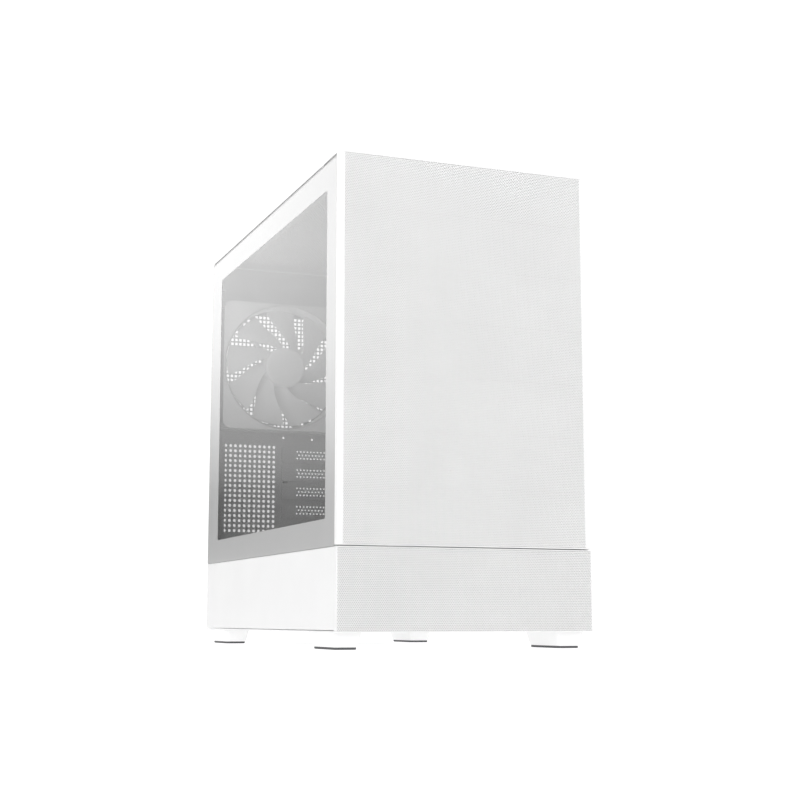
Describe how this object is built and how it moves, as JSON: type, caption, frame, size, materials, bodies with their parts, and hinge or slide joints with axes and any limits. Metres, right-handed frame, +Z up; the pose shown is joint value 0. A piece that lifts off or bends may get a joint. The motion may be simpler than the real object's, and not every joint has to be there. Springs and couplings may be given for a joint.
{
  "type": "desktop computer tower",
  "caption": "White desktop tower case with perforated front over a perforated base band, glass left side, rear fan, expansion slot covers, shrouded power-supply bay and short feet.",
  "frame": {"origin": "under the middle of the case, at the height of the surface it stands on", "axes": "+X to the right seen from the front, +Y towards the rear, +Z up; the perforated front faces -Y and the glass faces -X"},
  "size_m": [0.232, 0.439, 0.414],
  "materials": {
    "white_steel": "fine powder coat",
    "white_plastic": "fine texture",
    "pad_rubber": "matte",
    "grey_plastic": "matte with fine mesh",
    "glass": "polished",
    "screw_steel": "knurled",
    "socket_steel": "plated",
    "black_plastic": "matte",
    "board_green": "satin lacquer",
    "light_pipe": "clear"
  },
  "bodies": {
    "chassis": {"base_floor": "white_steel", "base_band_left": "white_steel", "base_band_right": "white_steel", "lower_front_mesh": "white_steel", "front_frame": "white_steel", "rear_wall": "white_steel", "motherboard_tray": "white_steel", "psu_shroud": "white_steel", "drive_cage": "white_steel", "ssd_bracket_lower": "white_steel", "ssd_bracket_upper": "white_steel", "top_panel": "white_steel", "fan_frame": "white_plastic", "foot_front_left": "white_plastic", "foot_front_right": "white_plastic", "foot_rear_left": "white_plastic", "foot_rear_right": "white_plastic", "foot_pad_front_left": "pad_rubber", "foot_pad_front_right": "pad_rubber", "foot_pad_rear_left": "pad_rubber", "foot_pad_rear_right": "pad_rubber", "io_bezel": "grey_plastic", "usb_a_port_1": "socket_steel", "usb_a_port_2": "socket_steel", "usb_c_port": "socket_steel", "audio_jack": "black_plastic", "io_board": "board_green", "power_led": "light_pipe"},
    "fan_rotor": {"fan_rotor": "white_plastic"},
    "psu_filter": {"psu_filter": "grey_plastic"},
    "top_filter": {"top_filter": "grey_plastic"},
    "front_panel": {"front_mesh": "white_steel", "front_panel_frame": "white_plastic"},
    "glass_side": {"glass_panel": "glass", "glass_frame": "white_steel"},
    "glass_screw_upper": {"glass_screw_upper": "screw_steel"},
    "glass_screw_lower": {"glass_screw_lower": "screw_steel"},
    "right_side": {"right_panel": "white_steel"},
    "panel_screw_upper": {"panel_screw_upper": "screw_steel"},
    "panel_screw_lower": {"panel_screw_lower": "screw_steel"},
    "slot_cover_1": {"slot_cover_1": "white_steel"},
    "slot_cover_2": {"slot_cover_2": "white_steel"},
    "slot_cover_3": {"slot_cover_3": "white_steel"},
    "slot_cover_4": {"slot_cover_4": "white_steel"},
    "slot_clamp": {"slot_clamp": "white_steel"},
    "slot_clamp_screw": {"slot_clamp_screw": "screw_steel"},
    "drive_tray_lower": {"drive_tray_lower": "grey_plastic"},
    "drive_tray_upper": {"drive_tray_upper": "grey_plastic"},
    "power_button": {"power_button": "white_plastic"},
    "reset_button": {"reset_button": "white_plastic"}
  },
  "joints": [
    {"name": "fan_spin", "type": "hinge", "parent": "chassis", "child": "fan_rotor", "pos_m": [-0.04, 0.1925, 0.298], "axis": [0, 1, 0], "continuous": true},
    {"name": "psu_filter_slide", "type": "slide", "parent": "chassis", "child": "psu_filter", "axis": [0, 1, 0], "range_m": [0, 0.19]},
    {"name": "top_filter_lift", "type": "slide", "parent": "chassis", "child": "top_filter", "axis": [0, 0, 1], "range_m": [0, 0.04]},
    {"name": "front_panel_pull", "type": "slide", "parent": "chassis", "child": "front_panel", "axis": [0, -1, 0], "range_m": [0, 0.06]},
    {"name": "glass_side_slide", "type": "slide", "parent": "chassis", "child": "glass_side", "axis": [0, 1, 0], "range_m": [0, 0.44]},
    {"name": "right_side_slide", "type": "slide", "parent": "chassis", "child": "right_side", "axis": [0, 1, 0], "range_m": [0, 0.44]},
    {"name": "glass_screw_upper_turn", "type": "hinge", "parent": "glass_side", "child": "glass_screw_upper", "pos_m": [-0.105, 0.2105, 0.384], "axis": [0, 1, 0], "continuous": true},
    {"name": "glass_screw_lower_turn", "type": "hinge", "parent": "glass_side", "child": "glass_screw_lower", "pos_m": [-0.105, 0.2105, 0.109], "axis": [0, 1, 0], "continuous": true},
    {"name": "panel_screw_upper_turn", "type": "hinge", "parent": "right_side", "child": "panel_screw_upper", "pos_m": [0.105, 0.2105, 0.384], "axis": [0, 1, 0], "continuous": true},
    {"name": "panel_screw_lower_turn", "type": "hinge", "parent": "right_side", "child": "panel_screw_lower", "pos_m": [0.105, 0.2105, 0.109], "axis": [0, 1, 0], "continuous": true},
    {"name": "slot_cover_1_out", "type": "slide", "parent": "chassis", "child": "slot_cover_1", "axis": [0, -1, 0], "range_m": [0, 0.1]},
    {"name": "slot_cover_2_out", "type": "slide", "parent": "chassis", "child": "slot_cover_2", "axis": [0, -1, 0], "range_m": [0, 0.1]},
    {"name": "slot_cover_3_out", "type": "slide", "parent": "chassis", "child": "slot_cover_3", "axis": [0, -1, 0], "range_m": [0, 0.1]},
    {"name": "slot_cover_4_out", "type": "slide", "parent": "chassis", "child": "slot_cover_4", "axis": [0, -1, 0], "range_m": [0, 0.1]},
    {"name": "slot_clamp_off", "type": "slide", "parent": "chassis", "child": "slot_clamp", "axis": [0, 1, 0], "range_m": [0, 0.05]},
    {"name": "slot_clamp_screw_turn", "type": "hinge", "parent": "slot_clamp", "child": "slot_clamp_screw", "pos_m": [-0.032, 0.2105, 0.174], "axis": [0, 1, 0], "continuous": true},
    {"name": "drive_tray_lower_slide", "type": "slide", "parent": "chassis", "child": "drive_tray_lower", "axis": [1, 0, 0], "range_m": [0, 0.022]},
    {"name": "drive_tray_upper_slide", "type": "slide", "parent": "chassis", "child": "drive_tray_upper", "axis": [1, 0, 0], "range_m": [0, 0.022]},
    {"name": "power_button_press", "type": "slide", "parent": "chassis", "child": "power_button", "axis": [0, 0, -1], "range_m": [0, 0.0015], "stiffness_N_per_m": 1000, "springref_m": -0.0003},
    {"name": "reset_button_press", "type": "slide", "parent": "chassis", "child": "reset_button", "axis": [0, 0, -1], "range_m": [0, 0.0012], "stiffness_N_per_m": 800, "springref_m": -0.0003}
  ]
}
